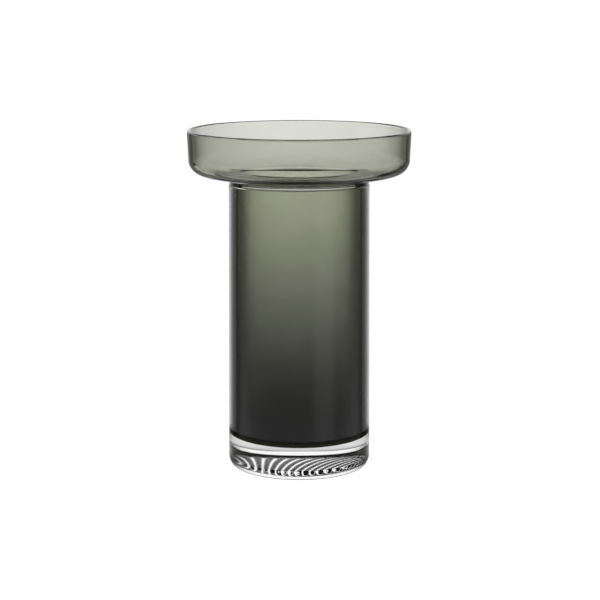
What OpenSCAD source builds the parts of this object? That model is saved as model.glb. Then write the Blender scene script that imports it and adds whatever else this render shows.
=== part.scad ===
// Glass cylinder vase: a clear-cased smoke-glass cylinder under a wide, shallow smoke-glass bowl.
// Millimetres, +Z up, origin at the centre of the resting face.
// Every piece is a turned form about the Z axis, and neighbours meet face to face where the glass is fused.

/* [Overall] */
// Height from the table to the top of the lip
vase_h = 240; // [225:1:280]

/* [Collar bowl] */
// Outer radius of the bowl at the lip
rim_r = 78.3; // [74:0.1:90]
// How much further in the bowl wall stands at its foot than at the lip
wall_lean = 0.8; // [0:0.1:2]
// Thickness of the bowl wall
bowl_wall = 3; // [2.4:0.1:3.6]
// Outer radius of the corner between bowl wall and bowl floor
corner_r = 10.7; // [9:0.1:13]
// Slope of the underside of the bowl, in degrees
under_slope = 13.6; // [11:0.1:18]
// Slope of the floor inside the bowl, in degrees
floor_slope = 10; // [8:1:12]
// Height of the fire-polished lip bead
bead_h = 3.5; // [3:0.1:5]

/* [Neck] */
// Radius of the neck at the bottom of the groove
neck_r = 48; // [47:0.1:48.2]
// Radius of the rounding that runs from the groove out into the underside of the bowl
groove_r = 2.8; // [2.4:0.1:3.2]
// Radius of the round hole in the floor of the bowl
throat_r = 41; // [36:0.5:42]
// Height of the slope under the bowl, carried on inwards as far as the neck
neck_z = 203.9; // [203.6:0.1:204.2]
// Thickness of the bowl floor at the hole
floor_t = 5.2; // [4:0.1:6]

/* [Body] */
// Outer radius of the body at the shoulder
body_top_r = 49.4; // [49.4:0.1:52]
// Outer radius of the body above the heel
body_low_r = 50.4; // [49.5:0.1:52]
// Height of the shoulder, where the casing ends in the groove
shoulder_z = 202.6; // [202.5:0.1:203.2]
// Thickness of the clear casing
casing_wall = 4.8; // [4.5:0.1:6]
// Thickness of the smoke layer
liner_wall = 1.4; // [1:0.1:2.4]
// Thickness of the floor of the smoke layer
liner_floor = 3; // [2:0.5:5]
// Hairline between the smoke layer and the clear casing
case_gap = 0.1; // [0.05:0.01:0.2]
// Outer radius of the rounded bottom corner of the smoke layer
liner_corner_r = 5; // [3:0.5:6]

/* [Base] */
// Thickness of clear glass under the smoke layer
base_t = 22.3; // [18:0.1:30]
// Height of the rounded heel
heel_h = 7.5; // [6:0.1:9]
// How far in from the body the heel rounds
heel_in = 5.2; // [3:0.1:6]
// Inner radius of the ring that the vase stands on
foot_in_r = 41.6; // [38:0.1:42]
// Height of the edge of the moulded sole above the table
sole_lift = 0.8; // [0.5:0.1:1.5]
// How much the underside of the sole rises from its edge to its centre
sole_dome = 1.6; // [1:0.1:2]
// Thickness of the moulded sole at its edge
sole_t = 3; // [3:0.1:3.6]
// Spacing of the round hollows moulded into the sole
hollow_pitch = 3.8; // [3.4:0.1:6]
// Radius of the ball that presses each hollow
hollow_ball_r = 3.2; // [2.4:0.1:6]
// Depth of each hollow
hollow_depth = 0.45; // [0.2:0.05:0.6]
// Turn of the rows of hollows about the axis, in degrees
hollow_turn = -10.9; // [-45:0.1:45]

/* [Hidden] */
SIDES = 180;
ARC_STEPS = 14;
THROAT_ROUND = 1;
THROAT_STEP = 1;

foot_h = heel_h;
casing_z = base_t + liner_corner_r;
liner_top_r = body_top_r - casing_wall - case_gap;
lip_z = vase_h - bead_h;
bowl_low_r = rim_r - wall_lean;
corner_c_r = bowl_low_r - corner_r;
corner_c_z = under_z(corner_c_r + corner_r * sin(under_slope)) + corner_r * cos(under_slope);
inner_corner_r = corner_r - bowl_wall;
join_r = neck_r + groove_r * (1 - sin(under_slope));
groove_z = under_z(join_r) - groove_r * cos(under_slope);
groove_end = 180 - asin((shoulder_z - groove_z) / groove_r);
shoulder_r = neck_r + groove_r * (1 + cos(groove_end));
shoulder_round = body_top_r - shoulder_r;
sole_z = sole_lift + sole_t;
dome_r = (pow(foot_in_r, 2) + pow(sole_dome, 2)) / (2 * sole_dome);
dome_c_z = sole_lift + sole_dome - dome_r;

// Height of the sloping underside of the bowl at radius r
function under_z(r) = neck_z + (r - neck_r) * tan(under_slope);
// Height of the floor inside the bowl at radius r
function floor_z(r) = under_z(throat_r) + floor_t + (r - throat_r) * tan(floor_slope);
// Height of the domed underside of the sole at radius r
function dome_z(r) = dome_c_z + sqrt(pow(dome_r, 2) - pow(r, 2));
// Outer radius of the body at height z: it widens slightly towards the base, as a mould needs
function body_r(z) = body_low_r + (body_top_r - body_low_r) * (z - foot_h) / (shoulder_z - foot_h);
function casing_in_r(z) = body_r(z) - casing_wall;
function liner_r(z) = casing_in_r(z) - case_gap;
// Points on an arc about c from angle a to angle b; squash flattens it across the axis
function arc(c, r, a, b, squash = 1) =
    [for (i = [0 : ARC_STEPS])
        let (t = a + (b - a) * i / ARC_STEPS)
        c + r * [squash * cos(t), sin(t)]];

module turned(outline) {
    rotate_extrude($fn = SIDES) polygon(outline);
}

// Lip of the bowl, melted round in the flame
module rim_bead() {
    half_t = bowl_wall / 2;
    color([0.55, 0.58, 0.52, 0.6])
    turned(concat([[rim_r - bowl_wall, lip_z], [rim_r, lip_z]],
                  arc([rim_r - half_t, vase_h - half_t], half_t, 0, 180)));
}

// Wide shallow bowl: wall, rounded corner and floor as far as the neck
module collar_bowl() {
    inner_c_z = floor_z(corner_c_r + inner_corner_r * sin(floor_slope)) + inner_corner_r * cos(floor_slope);
    inner_c = [corner_c_r, inner_c_z];
    color([0.5, 0.54, 0.46, 0.6])
    turned(concat([[join_r, under_z(join_r)]],
                  arc([corner_c_r, corner_c_z], corner_r, under_slope - 90, 0),
                  [[rim_r, lip_z], [rim_r - bowl_wall, lip_z]],
                  arc(inner_c, inner_corner_r, 0, floor_slope - 90),
                  [[join_r, floor_z(join_r)]]));
}

// Ring of smoke glass that joins the bowl to the body, with the rounded groove outside
module neck_ring() {
    throat_c = [throat_r + THROAT_ROUND, floor_z(throat_r) - THROAT_ROUND];
    color([0.16, 0.17, 0.15])
    turned(concat([[throat_r, shoulder_z + THROAT_STEP], [liner_top_r - liner_wall, shoulder_z]],
                  arc([neck_r + groove_r, groove_z], groove_r, groove_end, 90 + under_slope),
                  [[join_r, floor_z(join_r)]],
                  arc(throat_c, THROAT_ROUND, 90, 180)));
}

// Smoke-coloured inner layer of the body: a tall cup with a rounded bottom
module smoke_liner() {
    low_r = liner_r(casing_z);
    outer_c = [low_r - liner_corner_r, casing_z];
    in_corner = liner_corner_r - liner_wall;
    inner_c = [outer_c[0], base_t + liner_floor + in_corner];
    color([0.2, 0.21, 0.19])
    turned(concat([[0, base_t]],
                  arc(outer_c, liner_corner_r, -90, 0),
                  [[liner_top_r, shoulder_z], [liner_top_r - liner_wall, shoulder_z]],
                  arc(inner_c, in_corner, 0, -90),
                  [[0, base_t + liner_floor]]));
}

// Clear outer layer of the body, rounded over at the shoulder
module clear_casing() {
    round_c = [shoulder_r, shoulder_z - shoulder_round];
    color([0.85, 0.88, 0.88, 0.4])
    turned(concat([[casing_in_r(casing_z), casing_z], [body_r(casing_z), casing_z]],
                  arc(round_c, shoulder_round, 0, 90),
                  [[casing_in_r(shoulder_z), shoulder_z]]));
}

// Thick clear base, dished on top to seat the smoke layer and stepped below for the foot ring
module base_block() {
    seat_c = [liner_r(casing_z) - liner_corner_r, casing_z];
    color([0.9, 0.93, 0.93, 0.4])
    turned(concat([[0, sole_z], [foot_in_r, sole_z], [foot_in_r, foot_h],
                   [body_r(foot_h), foot_h], [body_r(casing_z), casing_z]],
                  arc(seat_c, liner_corner_r, 0, -90),
                  [[0, base_t]]));
}

// Moulded underside, set a little above the table inside the foot ring: a shallow dome with rows of round hollows
module moulded_sole() {
    rows = ceil(foot_in_r / hollow_pitch);
    color([0.75, 0.78, 0.78, 0.6])
    difference() {
        turned(concat([[0, sole_z], [foot_in_r, sole_z]],
                      arc([0, dome_c_z], dome_r, acos(foot_in_r / dome_r), 90)));
        rotate(hollow_turn)
        for (i = [-rows : rows], j = [-rows : rows])
            let (r = norm([i, j]) * hollow_pitch)
                if (r < foot_in_r - hollow_pitch / 2)
                    translate([i * hollow_pitch, j * hollow_pitch, dome_z(r) + hollow_depth - hollow_ball_r])
                    sphere(r = hollow_ball_r, $fn = 48);
    }
}

// Ring that the vase stands on, with the rounded heel outside
module foot_ring() {
    squash = heel_in / heel_h;
    heel_c = [body_r(foot_h) - heel_in, heel_h];
    color([0.88, 0.9, 0.9, 0.5])
    turned(concat([[foot_in_r, 0]],
                  arc(heel_c, heel_h, -90, 0, squash),
                  [[foot_in_r, foot_h]]));
}

rim_bead();
collar_bowl();
neck_ring();
smoke_liner();
clear_casing();
base_block();
moulded_sole();
foot_ring();
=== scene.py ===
"""Looks of the glass cylinder vase: turned glass pieces, studio light and camera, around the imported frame."""
import math

import bpy
import numpy as np
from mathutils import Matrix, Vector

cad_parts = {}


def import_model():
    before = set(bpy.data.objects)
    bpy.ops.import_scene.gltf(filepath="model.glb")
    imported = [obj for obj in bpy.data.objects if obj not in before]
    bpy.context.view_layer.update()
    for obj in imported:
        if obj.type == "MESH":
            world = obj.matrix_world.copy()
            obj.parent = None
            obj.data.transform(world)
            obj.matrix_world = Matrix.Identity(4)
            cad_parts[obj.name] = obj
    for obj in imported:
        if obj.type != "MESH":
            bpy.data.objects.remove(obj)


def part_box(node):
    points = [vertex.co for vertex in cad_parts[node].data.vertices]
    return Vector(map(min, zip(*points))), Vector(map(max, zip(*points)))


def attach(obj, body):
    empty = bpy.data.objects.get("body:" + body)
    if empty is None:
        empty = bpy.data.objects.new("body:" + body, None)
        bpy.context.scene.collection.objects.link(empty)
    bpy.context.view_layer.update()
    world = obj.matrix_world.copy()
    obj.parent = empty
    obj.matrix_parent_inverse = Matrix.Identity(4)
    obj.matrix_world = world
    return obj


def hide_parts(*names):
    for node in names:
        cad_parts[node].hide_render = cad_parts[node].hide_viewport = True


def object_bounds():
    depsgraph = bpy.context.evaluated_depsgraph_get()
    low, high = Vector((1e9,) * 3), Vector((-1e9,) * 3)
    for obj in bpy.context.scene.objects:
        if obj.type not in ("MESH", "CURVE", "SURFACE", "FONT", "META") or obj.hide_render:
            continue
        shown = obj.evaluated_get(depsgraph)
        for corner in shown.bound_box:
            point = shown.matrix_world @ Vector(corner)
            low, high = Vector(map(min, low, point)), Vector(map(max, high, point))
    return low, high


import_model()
cad_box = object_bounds()

MM = 0.001

# ---------------------------------------------------------------- sizes from the frame
vase_h = cad_box[1].z
rim_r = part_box("rim_bead")[1].x
lip_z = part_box("rim_bead")[0].z
shoulder_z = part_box("clear_casing")[1].z
casing_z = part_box("clear_casing")[0].z
base_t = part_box("smoke_liner")[0].z
body_low_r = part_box("foot_ring")[1].x
foot_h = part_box("foot_ring")[1].z
sole_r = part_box("moulded_sole")[1].x
sole_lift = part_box("moulded_sole")[0].z
sole_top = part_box("moulded_sole")[1].z

# ---------------------------------------------------------------- sizes that the boxes don't give, as in the CAD
bowl_wall = 3.0 * MM
wall_lean = 0.8 * MM
corner_r = 10.7 * MM
under_slope = math.radians(13.6)
floor_slope = math.radians(10)
neck_r = 48.0 * MM
neck_z = 203.9 * MM
groove_r = 2.8 * MM
throat_r = 41.0 * MM
throat_round = 1.0 * MM
throat_step = 1.0 * MM
floor_t = 5.2 * MM
body_top_r = 49.4 * MM
casing_wall = 4.8 * MM
liner_wall = 1.4 * MM
liner_floor = 3.0 * MM
case_gap = 0.1 * MM
heel_in = 5.2 * MM
sole_dome = 1.6 * MM
hollow_pitch = 3.8 * MM
hollow_ball = 3.2 * MM
hollow_depth = 0.45 * MM
hollow_turn = math.radians(-10.9)


def body_r(z):
    """Outer radius of the body at height z."""
    return body_low_r + (body_top_r - body_low_r) * (z - foot_h) / (shoulder_z - foot_h)


def under_z(r):
    """Height of the sloping underside of the bowl at radius r."""
    return neck_z + (r - neck_r) * math.tan(under_slope)


def floor_z(r):
    """Height of the floor inside the bowl at radius r."""
    return under_z(throat_r) + floor_t + (r - throat_r) * math.tan(floor_slope)


inner_corner_r = corner_r - bowl_wall
corner_c_r = rim_r - wall_lean - corner_r
join_r = neck_r + groove_r * (1 - math.sin(under_slope))
groove_z = under_z(join_r) - groove_r * math.cos(under_slope)
groove_cut = math.asin((shoulder_z - groove_z) / groove_r)
shoulder_r = neck_r + groove_r * (1 - math.cos(groove_cut))
shoulder_round = body_top_r - shoulder_r
liner_corner = casing_z - base_t
liner_top_r = body_top_r - casing_wall - case_gap
liner_low_r = body_r(casing_z) - casing_wall - case_gap
UNDER_DEG = math.degrees(under_slope)
FLOOR_DEG = math.degrees(floor_slope)

# ---------------------------------------------------------------- turned meshes
SEGMENTS = 256
SMOOTH_BELOW = math.radians(28)
ON_AXIS = 1e-7
FUSE_GAP = 0.01 * MM      # sliver left between fused faces, which bend no light
AIR, FUSED = 0.0, 1.0     # what lies beyond a face
FINE, WALL, SMALL, TINY, SHORT, DISC = 40, 24, 16, 12, 6, 4     # steps along a curve or line, most to least


def arc(cx, cz, r, a, b, steps=WALL, squash=1.0):
    """Points on an arc about (cx, cz) from angle a to angle b, in degrees; squash flattens it across the axis."""
    turns = [math.radians(a + (b - a) * i / steps) for i in range(steps + 1)]
    return [(cx + r * squash * math.cos(t), cz + r * math.sin(t)) for t in turns]


def line(p, q, steps=1):
    return [(p[0] + (q[0] - p[0]) * i / steps, p[1] + (q[1] - p[1]) * i / steps) for i in range(steps + 1)]


def turn(name, stretches, material):
    """A closed turned mesh. stretches is a loop of (kind, points), each starting where the last one ended."""
    ring = [(kind, point) for kind, points in stretches for point in points[:-1]]
    verts, faces, flags, rows = [], [], [], []
    for _, (r, z) in ring:
        first = len(verts)
        if r < ON_AXIS:
            verts.append((0.0, 0.0, z))
        else:
            turns = [2 * math.pi * s / SEGMENTS for s in range(SEGMENTS)]
            verts += [(r * math.cos(t), r * math.sin(t), z) for t in turns]
        rows.append(range(first, len(verts)))
    for i, (kind, _) in enumerate(ring):
        a, b = rows[i], rows[(i + 1) % len(ring)]
        if len(a) == 1 and len(b) == 1:
            continue
        for s in range(SEGMENTS):
            s2 = (s + 1) % SEGMENTS
            if len(a) == 1:
                faces.append((a[0], b[s2], b[s]))
            elif len(b) == 1:
                faces.append((a[s], a[s2], b[0]))
            else:
                faces.append((a[s], a[s2], b[s2], b[s]))
            flags.append(kind)
    return make_mesh(name, verts, faces, flags, material)


def add_object(name, mesh):
    obj = bpy.data.objects.new(name, mesh)
    bpy.context.scene.collection.objects.link(obj)
    return obj


def make_mesh(name, verts, faces, flags, material):
    """A smoothly shaded mesh whose face attribute says which faces are fused to a neighbour."""
    mesh = bpy.data.meshes.new(name)
    mesh.from_pydata(verts, [], faces)
    attr = mesh.attributes.new("fused", "FLOAT", "FACE")
    attr.data.foreach_set("value", flags)
    mesh.shade_smooth()
    mesh.set_sharp_from_angle(angle=SMOOTH_BELOW)
    mesh.materials.append(material)
    return add_object(name, mesh)


# ---------------------------------------------------------------- node chains
class Nodes:
    """Short-hand for building node chains."""
    def __init__(self, tree):
        self.tree = tree

    def new(self, kind):
        return self.tree.nodes.new(kind)

    def link(self, a, b):
        self.tree.links.new(a, b)

    def math(self, op, *values):
        node = self.new("ShaderNodeMath")
        node.operation = op
        for socket, v in zip(node.inputs, values):
            if isinstance(v, (int, float)):
                socket.default_value = v
            else:
                self.link(v, socket)
        return node.outputs[0]

    def add(self, a, b):
        return self.math("ADD", a, b)

    def times(self, a, b):
        return self.math("MULTIPLY", a, b)

    def rest(self, v):
        """One less v."""
        return self.math("SUBTRACT", 1.0, v)

    def axes(self, vector):
        node = self.new("ShaderNodeSeparateXYZ")
        self.link(vector, node.inputs[0])
        return node.outputs

    def radius(self, x, y):
        return self.math("SQRT", self.add(self.times(x, x), self.times(y, y)))

    def spread(self, v, lo, hi, out_lo=0.0, out_hi=1.0, kind="LINEAR"):
        """v from lo..hi to out_lo..out_hi, held at the ends."""
        node = self.new("ShaderNodeMapRange")
        node.interpolation_type = kind
        node.inputs["From Min"].default_value = lo
        node.inputs["From Max"].default_value = hi
        node.inputs["To Min"].default_value = out_lo
        node.inputs["To Max"].default_value = out_hi
        self.link(v, node.inputs["Value"])
        return node.outputs["Result"]

    def smooth(self, v, lo, hi):
        return self.spread(v, lo, hi, kind="SMOOTHSTEP")

    def ramp(self, v, points, kind="LINEAR"):
        """Grey level along (position, level) points, for v from 0 to 1."""
        node = self.new("ShaderNodeValToRGB")
        node.color_ramp.interpolation = kind
        stops = node.color_ramp.elements
        for i, (position, level) in enumerate(points):
            stop = stops[i] if i < 2 else stops.new(position)
            stop.position = position
            stop.color = (level, level, level, 1)
        self.link(v, node.inputs["Fac"])
        return node.outputs["Color"]

    def curve(self, v, top, points):
        """As ramp, for v and positions from 0 to top."""
        return self.ramp(self.math("DIVIDE", v, top), [(at / top, level) for at, level in points])

    def noise(self, vector, scale, detail):
        node = self.new("ShaderNodeTexNoise")
        node.inputs["Scale"].default_value = scale
        node.inputs["Detail"].default_value = detail
        self.link(vector, node.inputs["Vector"])
        return node.outputs["Fac"]


# ---------------------------------------------------------------- glass
GLASS_IOR = 1.5
WAVES_PER_METRE, WAVES_DETAIL = 30.0, 1.0
WAVE_STRETCH = (1.0, 1.0, 2.5)     # turning draws the waves out round the vase
WAVE_HEIGHT = 0.006 * MM
HAZE_PER_METRE, HAZE_DETAIL = 90.0, 4.0
HAZE_FROM, HAZE_TO, HAZE_ROUGHNESS = 0.35, 0.8, 0.006
TINT_FROM, TINT_TO, TINT_LEVEL = 0.3, 0.7, 0.985
BODY_LOW_Z, BODY_HIGH_Z = 0.02, 0.2
BODY_LEVELS = [(0.0, 0.02), (0.15, 0.075), (0.4, 0.335), (0.7, 0.56), (1.0, 0.77)]
# painted shade at the upper edge of the hole in the bowl floor: its depth, fades and strength
PAINTED_SHADE_DEPTH, PAINTED_SHADE_FADE_Z, PAINTED_SHADE_FADE_R, PAINTED_SHADE_STRENGTH = 1.4 * MM, 0.3 * MM, 0.5 * MM, 0.98


def faint_tint(n, place, waves):
    """Clear glass, a touch darker here and there."""
    return n.spread(waves, TINT_FROM, TINT_TO, 1.0, TINT_LEVEL)


def body_gradient(n, place, waves):
    """Smoke layer, from near black at the base to grey-green at the top."""
    height = n.spread(n.axes(place)[2], BODY_LOW_Z, BODY_HIGH_Z)
    return n.ramp(height, BODY_LEVELS, "B_SPLINE")


def painted_throat_shade(n, place, waves):
    """Painted shade: the base colour darkened round the upper edge of the hole in the bowl floor, where the dark
    line comes from how the glass bends light, not from its colour.
    """
    x, y, z = n.axes(place)
    edge_r = throat_r + throat_round
    edge_z = floor_z(throat_r) - PAINTED_SHADE_DEPTH
    inner = n.rest(n.smooth(n.radius(x, y), edge_r, edge_r + PAINTED_SHADE_FADE_R))
    upper = n.smooth(z, edge_z - PAINTED_SHADE_FADE_Z, edge_z)
    return n.rest(n.times(n.times(inner, upper), PAINTED_SHADE_STRENGTH))


def glass(name, colour=faint_tint, absorb=None, density=0.0):
    """Polished glass, faintly wavy and hazy from blowing. Fused faces bend no light."""
    mat = bpy.data.materials.new(name)
    mat.use_nodes = True
    n = Nodes(mat.node_tree)
    shader = n.tree.nodes["Principled BSDF"]
    shader.inputs["Transmission Weight"].default_value = 1.0
    shader.inputs["IOR"].default_value = GLASS_IOR
    fused = n.new("ShaderNodeAttribute")
    fused.attribute_name = "fused"
    n.link(n.spread(fused.outputs["Fac"], 0.0, 1.0, GLASS_IOR, 1.0), shader.inputs["IOR"])

    place = n.new("ShaderNodeTexCoord").outputs["Object"]
    stretch = n.new("ShaderNodeMapping")
    stretch.inputs["Scale"].default_value = WAVE_STRETCH
    n.link(place, stretch.inputs["Vector"])
    waves = n.noise(stretch.outputs["Vector"], WAVES_PER_METRE, WAVES_DETAIL)
    bump = n.new("ShaderNodeBump")
    bump.inputs["Strength"].default_value = 1.0
    bump.inputs["Distance"].default_value = WAVE_HEIGHT
    n.link(waves, bump.inputs["Height"])
    n.link(bump.outputs["Normal"], shader.inputs["Normal"])
    haze = n.noise(place, HAZE_PER_METRE, HAZE_DETAIL)
    n.link(n.spread(haze, HAZE_FROM, HAZE_TO, 0.0, HAZE_ROUGHNESS), shader.inputs["Roughness"])
    n.link(colour(n, place, waves), shader.inputs["Base Color"])
    if absorb:
        volume = n.new("ShaderNodeVolumeAbsorption")
        volume.inputs["Color"].default_value = (*absorb, 1)
        volume.inputs["Density"].default_value = density
        n.link(volume.outputs[0], n.tree.nodes["Material Output"].inputs["Volume"])
    return mat


SMOKE = (0.856, 0.862, 0.826)
LINER = (0.856, 0.886, 0.725)
clear = glass("clear_glass")
smoke_bowl = glass("smoke_bowl", faint_tint, SMOKE, 700.0)
# the neck glass carries the painted shade at the upper edge of its hole
smoke_neck = glass("smoke_neck", painted_throat_shade, SMOKE, 300.0)
smoke_body = glass("smoke_body", body_gradient, LINER, 700.0)


# ---------------------------------------------------------------- pieces
def lip():
    """Fire-polished lip."""
    half = bowl_wall / 2
    low = lip_z + FUSE_GAP
    return turn("lip", [
        (FUSED, line((rim_r - bowl_wall, low), (rim_r, low))),
        (AIR, line((rim_r, low), (rim_r, vase_h - half))),
        (AIR, arc(rim_r - half, vase_h - half, half, 0, 180)),
        (AIR, line((rim_r - bowl_wall, vase_h - half), (rim_r - bowl_wall, low))),
    ], smoke_bowl)


def bowl():
    """Wall, rounded corner and floor of the bowl, as far in as the neck."""
    outer_z = under_z(corner_c_r + corner_r * math.sin(under_slope)) + corner_r * math.cos(under_slope)
    inner_z = (floor_z(corner_c_r + inner_corner_r * math.sin(floor_slope))
               + inner_corner_r * math.cos(floor_slope))
    join = join_r + FUSE_GAP
    outer = arc(corner_c_r, outer_z, corner_r, UNDER_DEG - 90, 0, FINE)
    inner = arc(corner_c_r, inner_z, inner_corner_r, 0, FLOOR_DEG - 90, FINE)
    return turn("bowl", [
        (AIR, line((join, under_z(join_r)), outer[0], SHORT)),
        (AIR, outer),
        (AIR, line(outer[-1], (rim_r, lip_z), SHORT)),
        (FUSED, line((rim_r, lip_z), (rim_r - bowl_wall, lip_z))),
        (AIR, line((rim_r - bowl_wall, lip_z), inner[0], SHORT)),
        (AIR, inner),
        (AIR, line(inner[-1], (join, floor_z(join_r)), SHORT)),
        (FUSED, line((join, floor_z(join_r)), (join, under_z(join_r)))),
    ], smoke_bowl)


def neck():
    """Ring that joins bowl and body, with the groove outside and the hole inside."""
    liner_in_r = liner_top_r - liner_wall
    edge_c_r, edge_c_z = throat_r + throat_round, floor_z(throat_r) - throat_round
    groove = arc(neck_r + groove_r, groove_z, groove_r, 180 - math.degrees(groove_cut), 90 + UNDER_DEG)
    return turn("neck", [
        (FUSED, line((liner_in_r, shoulder_z), (liner_top_r, shoulder_z))),
        (FUSED, line((liner_top_r, shoulder_z), (shoulder_r, shoulder_z))),
        (AIR, groove),
        (FUSED, line((join_r, under_z(join_r)), (join_r, floor_z(join_r)))),
        (AIR, line((join_r, floor_z(join_r)), (edge_c_r, edge_c_z + throat_round))),
        (AIR, arc(edge_c_r, edge_c_z, throat_round, 90, 180, TINY)),
        (AIR, line((throat_r, edge_c_z), (throat_r, shoulder_z + throat_step))),
        (AIR, line((throat_r, shoulder_z + throat_step), (liner_in_r, shoulder_z))),
    ], smoke_neck)


def liner():
    """Smoke layer: a tall cup with a rounded bottom, fused to the base below."""
    top, low = shoulder_z - FUSE_GAP, base_t + FUSE_GAP
    corner_r_in = liner_corner - liner_wall
    c = liner_low_r - liner_corner
    outer = arc(c, low + liner_corner, liner_corner, -90, 0)
    inner = arc(c, low + liner_floor + corner_r_in, corner_r_in, 0, -90, SMALL)
    return turn("liner", [
        (FUSED, line((0, low), outer[0], DISC)),
        (FUSED, outer),
        (AIR, line(outer[-1], (liner_top_r, top), WALL)),
        (FUSED, line((liner_top_r, top), (liner_top_r - liner_wall, top))),
        (AIR, line((liner_top_r - liner_wall, top), inner[0], WALL)),
        (AIR, inner),
        (AIR, line(inner[-1], (0, low + liner_floor), DISC)),
        (AIR, line((0, low + liner_floor), (0, low))),
    ], smoke_body)


def casing():
    """Clear outer layer, rounded over at the shoulder."""
    low = casing_z + FUSE_GAP
    low_r, low_in = body_r(low), body_r(low) - casing_wall
    top_in = (body_top_r - casing_wall, shoulder_z - FUSE_GAP)
    shoulder = arc(shoulder_r, shoulder_z - shoulder_round, shoulder_round, 0, 90, SMALL)
    return turn("casing", [
        (FUSED, line((low_in, low), (low_r, low))),
        (AIR, line((low_r, low), shoulder[0], WALL)),
        (AIR, shoulder),
        (FUSED, line(shoulder[-1], top_in)),
        (AIR, line(top_in, (low_in, low), WALL)),
    ], clear)


def base():
    """Thick clear base, dished to seat the smoke layer and stepped below for the foot ring."""
    seat = arc(liner_low_r - liner_corner, base_t + liner_corner, liner_corner, 0, -90)
    low, step = sole_top + FUSE_GAP, foot_h + FUSE_GAP
    return turn("base", [
        (FUSED, line((0, low), (sole_r, low), DISC)),
        (FUSED, line((sole_r, low), (sole_r, step))),
        (FUSED, line((sole_r, step), (body_r(foot_h), step))),
        (AIR, line((body_r(foot_h), step), (body_r(casing_z), casing_z), DISC)),
        (FUSED, line((body_r(casing_z), casing_z), seat[0])),
        (FUSED, seat),
        (FUSED, line(seat[-1], (0, base_t), DISC)),
        (AIR, line((0, base_t), (0, low))),
    ], clear)


def foot():
    """Ring that the vase stands on, with the rounded heel."""
    outer_r, inner_r = body_r(foot_h), sole_r + FUSE_GAP
    heel = arc(outer_r - heel_in, foot_h, foot_h, -90, 0, 2 * SMALL, heel_in / foot_h)
    return turn("foot", [
        (AIR, line((inner_r, 0), heel[0], 2)),
        (AIR, heel),
        (FUSED, line((outer_r, foot_h), (inner_r, foot_h))),
        (FUSED, line((inner_r, foot_h), (inner_r, sole_lift), 2)),
        (AIR, line((inner_r, sole_lift), (inner_r, 0))),
    ], clear)


SOLE_RINGS, SOLE_SPOKES = 120, 800


def under_height(x, y):
    """Height of the moulded underside above its edge: a shallow dome with a square lattice of round hollows."""
    c, s = math.cos(-hollow_turn), math.sin(-hollow_turn)
    u, v = x * c - y * s, x * s + y * c
    row_u, row_v = np.round(u / hollow_pitch), np.round(v / hollow_pitch)
    off2 = (u - row_u * hollow_pitch) ** 2 + (v - row_v * hollow_pitch) ** 2
    land = hollow_ball - hollow_depth
    hollowed = np.hypot(row_u, row_v) * hollow_pitch < sole_r - hollow_pitch / 2
    hollowed &= off2 < hollow_ball ** 2 - land ** 2
    hollow = np.where(hollowed, np.sqrt(np.maximum(hollow_ball ** 2 - off2, 0.0)) - land, 0.0)
    dome_r = (sole_r ** 2 + sole_dome ** 2) / (2 * sole_dome)
    return hollow + np.sqrt(dome_r ** 2 - x * x - y * y) - (dome_r - sole_dome)


def sole():
    """Moulded underside, on rings and spokes fine enough for the hollows."""
    radii = np.linspace(0, sole_r, SOLE_RINGS + 1)[1:]
    turns = np.linspace(0, 2 * np.pi, SOLE_SPOKES, endpoint=False)
    r, t = np.meshgrid(radii, turns, indexing="ij")
    x, y = r * np.cos(t), r * np.sin(t)
    z = sole_lift + under_height(x, y)
    centre_z = sole_lift + float(under_height(np.array(0.0), np.array(0.0)))
    verts = [(0.0, 0.0, centre_z)]
    verts += list(zip(x.ravel().tolist(), y.ravel().tolist(), z.ravel().tolist()))
    edge = len(verts) - SOLE_SPOKES
    top = len(verts)
    verts += [(sole_r * math.cos(a), sole_r * math.sin(a), sole_top) for a in turns]
    top_centre = len(verts)
    verts.append((0.0, 0.0, sole_top))

    spokes = [(s, (s + 1) % SOLE_SPOKES) for s in range(SOLE_SPOKES)]
    faces = [(0, 1 + s2, 1 + s) for s, s2 in spokes]
    for a in range(1, edge, SOLE_SPOKES):
        b = a + SOLE_SPOKES
        faces += [(a + s, a + s2, b + s2, b + s) for s, s2 in spokes]
    flags = [AIR] * len(faces)
    for s, s2 in spokes:
        faces.append((edge + s, edge + s2, top + s2, top + s))
        faces.append((top + s, top + s2, top_centre))
        flags += [FUSED, FUSED]
    return make_mesh("sole", verts, faces, flags, clear)


PIECES = [
    (lip, "rim_bead", "bowl_glass"),
    (bowl, "collar_bowl", "bowl_glass"),
    (neck, "neck_ring", "neck_glass"),
    (liner, "smoke_liner", "liner_glass"),
    (casing, "clear_casing", "clear_glass"),
    (base, "base_block", "clear_glass"),
    (sole, "moulded_sole", "sole_glass"),
    (foot, "foot_ring", "clear_glass"),
]
for make, node, slot in PIECES:
    piece = make()
    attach(piece, "root")
    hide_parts(node)


# ---------------------------------------------------------------- light
SHOWN = 1.05     # brightness of floor and background where the camera sees them directly


def shown_or(n, level, camera_ray):
    """Evenly white to the camera, and level to every other ray."""
    return n.add(n.times(level, n.rest(camera_ray)), n.times(camera_ray, SHOWN))


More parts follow.
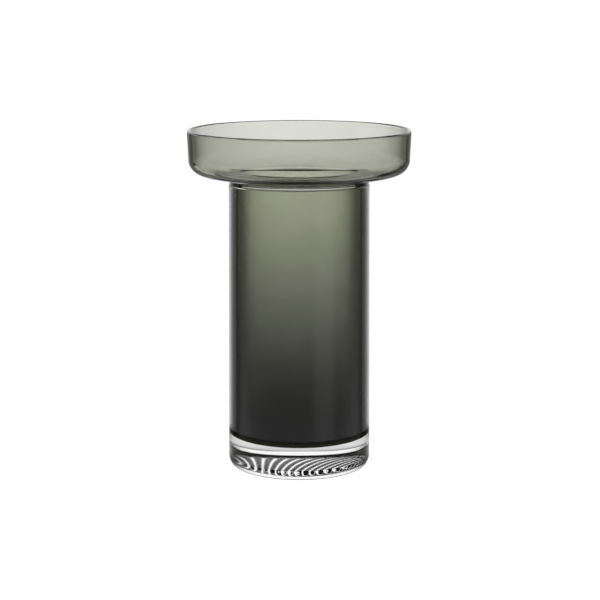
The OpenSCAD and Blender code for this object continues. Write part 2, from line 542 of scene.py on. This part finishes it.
# Azimuths are 0 straight behind the vase and grow to the right; all angles are in degrees.
FIELD_LEFT = 0.6                   # how far left of straight behind the lit field is centred
NARROW = [(0, 1.05), (6, 0.93), (9, 0.77), (12, 0.52), (15, 0.36), (19, 0.24), (24, 0.15),
          (30, 0.095), (38, 0.055), (46, 0.03), (56, 0.03), (70, 0.0)]     # lit field near the table, by azimuth
WIDE = [(0, 1.05), (30, 1.05), (42, 0.9), (55, 0.5), (70, 0.1), (85, 0.0)]     # lit field higher up
WIDEN_FROM, WIDEN_TO = -5, 1       # elevations between which the field widens
TOP_FROM, TOP_TO = 22, 34          # elevations over which it fades out upwards
LOW_FROM, LOW_TO = -25, -40        # and downwards
FRONT_FROM, FRONT_TO = 50, 75      # azimuths from which the light on the camera's side comes in
FRONT = [(0, 0), (30, 0), (60, 0.22), (75, 0.2), (83, 0.05), (87, 0.02), (95, 0.0), (180, 0)]     # 90 is level
DIM = 0.003
TABLE, TABLE_FROM, TABLE_FULL = 0.5, 38, 46     # pale table, seen steeply down through the glass
CARD_FADE = 3
CARDS = [                          # azimuth, half width, soft edge, lowest and highest elevation, brightness
    (-45, 16, 12, -36, -18, 0.9),
    (-90, 18, 12, -4, 9, 0.9),
    (135, 8, 20, -26, -4, 0.15),
]


def card(n, turn_az, el, azimuth, half, soft, low, high, brightness):
    """Brightness of one soft-edged lit card."""
    off = n.math("ABSOLUTE", n.math("SUBTRACT", turn_az, azimuth))
    across = n.rest(n.smooth(off, half, half + soft))
    up = n.times(n.smooth(el, low - CARD_FADE, low), n.rest(n.smooth(el, high, high + CARD_FADE)))
    return n.times(n.times(across, up), brightness)


def world():
    """Bright field behind the vase that falls off to dark sides, a little front light, and a few cards."""
    w = bpy.data.worlds.new("studio")
    bpy.context.scene.world = w
    w.use_nodes = True
    w.node_tree.nodes.clear()
    n = Nodes(w.node_tree)
    x, y, z = n.axes(n.new("ShaderNodeTexCoord").outputs["Generated"])
    turn_az = n.math("DEGREES", n.math("ARCTAN2", x, y))
    az = n.math("ABSOLUTE", n.add(turn_az, FIELD_LEFT))
    el = n.math("DEGREES", n.math("ARCSINE", z))

    widen = n.smooth(el, WIDEN_FROM, WIDEN_TO)
    field = n.add(n.times(n.curve(az, 180, NARROW), n.rest(widen)), n.times(n.curve(az, 180, WIDE), widen))
    field = n.times(field, n.rest(n.smooth(el, TOP_FROM, TOP_TO)))
    field = n.times(field, n.smooth(el, LOW_TO, LOW_FROM))
    front = n.times(n.smooth(az, FRONT_FROM, FRONT_TO), n.curve(n.add(el, 90), 180, FRONT))
    table = n.times(n.smooth(n.times(el, -1.0), TABLE_FROM, TABLE_FULL), TABLE)
    level = n.add(n.add(n.add(field, front), DIM), table)
    path = n.new("ShaderNodeLightPath")
    cards = 0.0
    for spec in CARDS:
        cards = n.add(cards, card(n, turn_az, el, *spec))
    level = n.add(level, n.times(cards, path.outputs["Is Transmission Ray"]))     # seen only through the glass

    background = n.new("ShaderNodeBackground")
    background.inputs["Color"].default_value = (1, 1, 1, 1)
    n.link(shown_or(n, level, path.outputs["Is Camera Ray"]), background.inputs["Strength"])
    n.link(background.outputs[0], n.new("ShaderNodeOutputWorld").inputs[0])


world()

# ---------------------------------------------------------------- floor
FLOOR_HALF = 1.5
FLOOR_DROP = 0.05 * MM
MM_PER_METRE = 1000.0
# painted pool of light on the floor round the foot, and painted shadow under the vase, seen only through the
# glass
PAINTED_LIGHT_POOL = [(0, 0), (50, 0.0), (54, 0.85), (75, 0.8), (95, 0.5), (115, 0.0), (200, 0)]     # by radius in mm
PAINTED_POOL_TURN = [(0, 1.0), (60, 1.0), (80, 0.5), (100, 0.25), (180, 0.2)]                  # by azimuth
PAINTED_POOL_COVER = 2.0     # the patch is solid where it is at least half bright
PAINTED_SHADOW_R = 50.0        # painted shadow under the vase, in mm


def floor():
    """Pale floor: even to the camera; through the glass, only a painted pool of light round the foot of the vase
    counts, with a painted shadow under the vase.
    """
    h, z = FLOOR_HALF, -FLOOR_DROP
    mesh = bpy.data.meshes.new("floor")
    mesh.from_pydata([(-h, -h, z), (h, -h, z), (h, h, z), (-h, h, z)], [], [(0, 1, 2, 3)])
    mat = bpy.data.materials.new("pale_floor")
    mat.use_nodes = True
    mat.node_tree.nodes.clear()
    n = Nodes(mat.node_tree)
    x, y, _ = n.axes(n.new("ShaderNodeTexCoord").outputs["Object"])
    r = n.times(n.radius(x, y), MM_PER_METRE)
    az = n.math("DEGREES", n.math("ABSOLUTE", n.math("ARCTAN2", x, y)))
    # brightness of the painted light pool, by radius and azimuth
    level = n.times(n.curve(r, 200, PAINTED_LIGHT_POOL), n.curve(az, 180, PAINTED_POOL_TURN))
    camera_ray = n.new("ShaderNodeLightPath").outputs["Is Camera Ray"]
    pool_cover = n.math("MINIMUM", n.times(level, PAINTED_POOL_COVER), 1.0)
    # the painted shadow under the vase is solid, as is the bright part of the pool
    cover = n.math("MAXIMUM", n.math("LESS_THAN", r, PAINTED_SHADOW_R), pool_cover)

    glow = n.new("ShaderNodeEmission")
    n.link(shown_or(n, level, camera_ray), glow.inputs["Strength"])
    mix = n.new("ShaderNodeMixShader")
    n.link(n.math("MAXIMUM", camera_ray, cover), mix.inputs[0])
    n.link(n.new("ShaderNodeBsdfTransparent").outputs[0], mix.inputs[1])
    n.link(glow.outputs[0], mix.inputs[2])
    n.link(mix.outputs[0], n.new("ShaderNodeOutputMaterial").inputs[0])
    mesh.materials.append(mat)
    return add_object("floor", mesh)


floor()

# ---------------------------------------------------------------- camera
CAM_PLACE = (0.0006, -1.258, 0.35255)
CAM_PITCH = math.radians(10.52)
CAM_LENS, CAM_SENSOR = 108.25, 36
CAM_NEAR, CAM_FAR = 0.01, 50
GLASS_BOUNCES = 40     # a ray crosses many faces of glass


def camera():
    data = bpy.data.cameras.new("camera")
    data.lens = CAM_LENS
    data.sensor_width = CAM_SENSOR
    data.clip_start, data.clip_end = CAM_NEAR, CAM_FAR
    cam = add_object("camera", data)
    cam.location = CAM_PLACE
    cam.rotation_euler = (math.pi / 2 - CAM_PITCH, 0, 0)
    return cam


scene = bpy.context.scene
scene.camera = camera()
scene.view_settings.view_transform = "Standard"
scene.cycles.max_bounces = GLASS_BOUNCES
scene.cycles.transmission_bounces = GLASS_BOUNCES
scene.cycles.glossy_bounces = GLASS_BOUNCES
